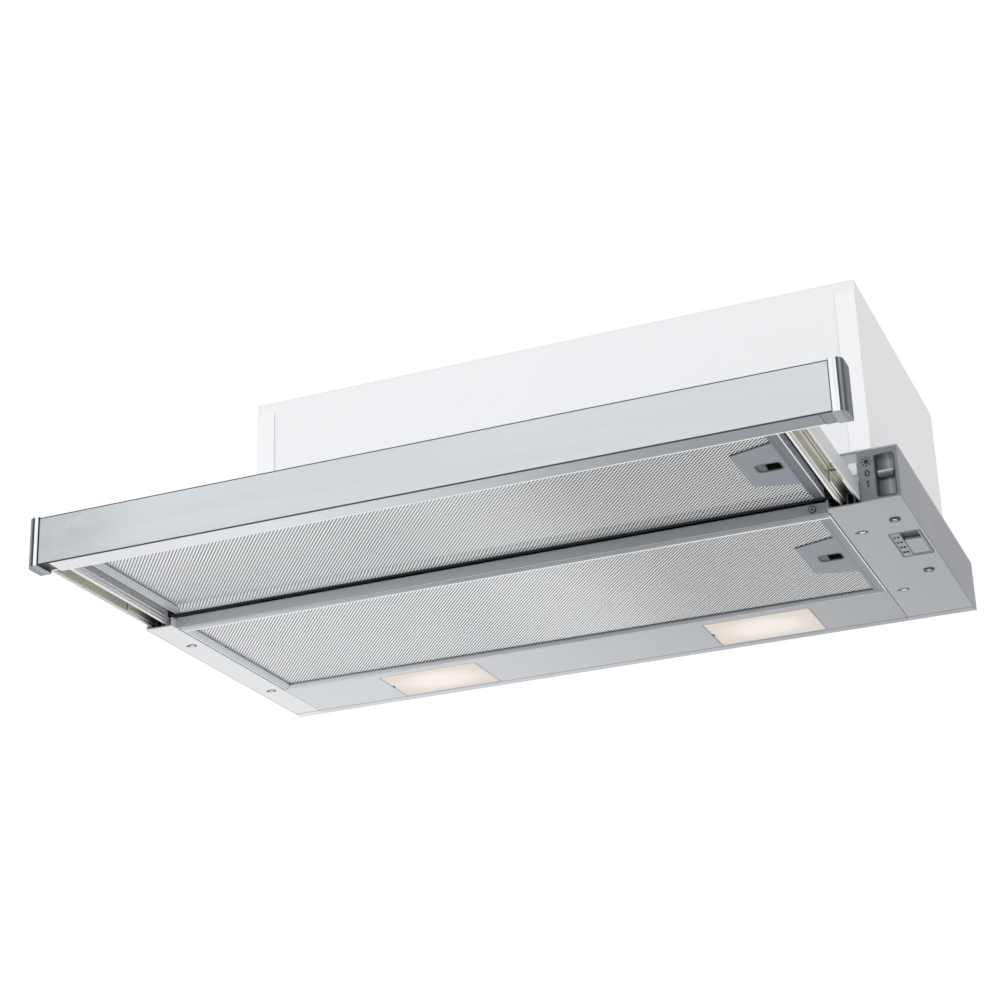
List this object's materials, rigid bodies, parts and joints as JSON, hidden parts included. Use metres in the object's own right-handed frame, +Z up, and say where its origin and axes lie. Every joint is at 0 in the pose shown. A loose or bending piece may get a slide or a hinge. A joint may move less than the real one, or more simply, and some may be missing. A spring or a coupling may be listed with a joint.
{
  "type": "pull-out range hood",
  "caption": "Slim telescopic cooker hood: white upper body, silver base, pull-out drawer with steel fascia, two mesh grease filters, lamps and slider switches.",
  "frame": {"origin": "in the wall plane, at mid-width, at the height where the base meets the cabinet", "axes": "+X along the hood to its switch end, +Y into the wall, +Z up"},
  "size_m": [0.598, 0.4225, 0.2046],
  "materials": {
    "white_enamel": "smooth white powder coat",
    "galvanised_sheet": "zinc-coated sheet",
    "silver_enamel": "satin silver-grey enamel",
    "arm_enamel": "satin light grey enamel",
    "dark_steel": "black-oxide steel",
    "brushed_face": "grain along the length",
    "anodised_rail": "satin grey anodised",
    "chrome_cap": "polished",
    "zinc_runner": "yellow zinc plating",
    "filter_aluminium": "satin",
    "filter_mesh": "expanded mesh",
    "handle_plastic": "fine satin",
    "switch_plastic": "fine satin",
    "speed_plastic": "fine satin",
    "black_plastic": "matt",
    "blower_plastic": "matt",
    "motor_steel": "bare steel",
    "white_plastic": "smooth",
    "frosted_lens": "frosted",
    "bulb_glass": "opal"
  },
  "bodies": {
    "housing": {"base_top_plate": "silver_enamel", "base_side_left": "silver_enamel", "base_side_right": "silver_enamel", "underside_panel_left": "silver_enamel", "underside_panel_right": "silver_enamel", "underside_panel_rear": "silver_enamel", "crossbar": "silver_enamel", "crossbar_screw": "dark_steel", "panel_screws": "dark_steel", "body_front_sheet": "white_enamel", "body_side_left": "white_enamel", "body_side_right": "white_enamel", "body_back_sheet": "galvanised_sheet", "body_top_sheet": "white_enamel", "outlet_collar": "black_plastic", "mains_gland": "black_plastic", "terminal_box": "white_plastic", "capacitor": "white_plastic", "blower_scroll": "blower_plastic", "blower_side_plate": "blower_plastic", "motor_bracket": "galvanised_sheet", "motor": "motor_steel", "lamp_boxes": "galvanised_sheet", "lamp_holders": "white_plastic", "lamp_bulbs": "bulb_glass", "switch_housing": "switch_plastic", "light_switch_block": "black_plastic", "speed_plate": "speed_plastic", "speed_switch_block": "black_plastic", "fixed_runners": "zinc_runner"},
    "drawer": {"drawer_runners": "zinc_runner", "runner_rivets": "zinc_runner", "drawer_arm_left": "arm_enamel", "drawer_arm_right": "arm_enamel", "drawer_cover": "arm_enamel", "drawer_rear_bar": "dark_steel", "fascia_panel": "brushed_face", "fascia_rail": "anodised_rail", "end_cap_left": "chrome_cap", "end_cap_right": "chrome_cap"},
    "middle_runner": {"middle_runners": "zinc_runner"},
    "front_filter": {"front_filter_frame": "filter_aluminium", "front_filter_mesh": "filter_mesh", "front_filter_handle": "handle_plastic"},
    "front_latch": {"front_filter_latch": "handle_plastic"},
    "rear_filter": {"rear_filter_frame": "filter_aluminium", "rear_filter_mesh": "filter_mesh", "rear_filter_handle": "handle_plastic"},
    "rear_latch": {"rear_filter_latch": "handle_plastic"},
    "impeller_wheel": {"motor_shaft": "motor_steel", "impeller": "blower_plastic"},
    "light_knob": {"light_slider": "switch_plastic"},
    "speed_knob": {"speed_slider": "speed_plastic"},
    "lens_left": {"lamp_lens_left": "frosted_lens"},
    "lens_right": {"lamp_lens_right": "frosted_lens"},
    "flap_front": {"flap_front": "black_plastic"},
    "flap_rear": {"flap_rear": "black_plastic"}
  },
  "joints": [
    {"name": "drawer_slide", "type": "slide", "parent": "housing", "child": "drawer", "axis": [0, -1, 0], "range_m": [-0.1425, 0]},
    {"name": "middle_runner_slide", "type": "slide", "parent": "housing", "child": "middle_runner", "axis": [0, -1, 0], "range_m": [-0.07125, 0]},
    {"name": "front_filter_swing", "type": "hinge", "parent": "drawer", "child": "front_filter", "pos_m": [-0.27, -0.3297, -0.027], "axis": [0, 1, 0], "range_deg": [0, 60]},
    {"name": "rear_filter_swing", "type": "hinge", "parent": "housing", "child": "rear_filter", "pos_m": [-0.27, -0.1632, -0.037], "axis": [0, 1, 0], "range_deg": [0, 60]},
    {"name": "front_latch_slide", "type": "slide", "parent": "front_filter", "child": "front_latch", "axis": [1, 0, 0], "range_m": [0, 0.003], "stiffness_N_per_m": 300},
    {"name": "rear_latch_slide", "type": "slide", "parent": "rear_filter", "child": "rear_latch", "axis": [1, 0, 0], "range_m": [0, 0.003], "stiffness_N_per_m": 300},
    {"name": "light_switch_slide", "type": "slide", "parent": "housing", "child": "light_knob", "axis": [0, 0, 1], "range_m": [-0.008, 0.008]},
    {"name": "speed_switch_slide", "type": "slide", "parent": "housing", "child": "speed_knob", "axis": [0, 1, 0], "range_m": [-0.0135, 0]},
    {"name": "impeller_spin", "type": "hinge", "parent": "housing", "child": "impeller_wheel", "pos_m": [0.03875, -0.13, 0.066], "axis": [1, 0, 0], "continuous": true},
    {"name": "lens_left_swing", "type": "hinge", "parent": "housing", "child": "lens_left", "pos_m": [-0.10385, -0.039, -0.0384], "axis": [0, -1, 0], "range_deg": [0, 30]},
    {"name": "lens_right_swing", "type": "hinge", "parent": "housing", "child": "lens_right", "pos_m": [0.17815, -0.039, -0.0384], "axis": [0, -1, 0], "range_deg": [0, 30]},
    {"name": "flap_front_swing", "type": "hinge", "parent": "housing", "child": "flap_front", "pos_m": [0.03875, -0.0842, 0.1385], "axis": [-1, 0, 0], "range_deg": [0, 75]},
    {"name": "flap_rear_swing", "type": "hinge", "parent": "housing", "child": "flap_rear", "pos_m": [0.03875, -0.0798, 0.1385], "axis": [1, 0, 0], "range_deg": [0, 75]}
  ],
  "couplings": [
    {"joint": "middle_runner_slide", "follows": "drawer_slide", "ratio": 0.5}
  ]
}
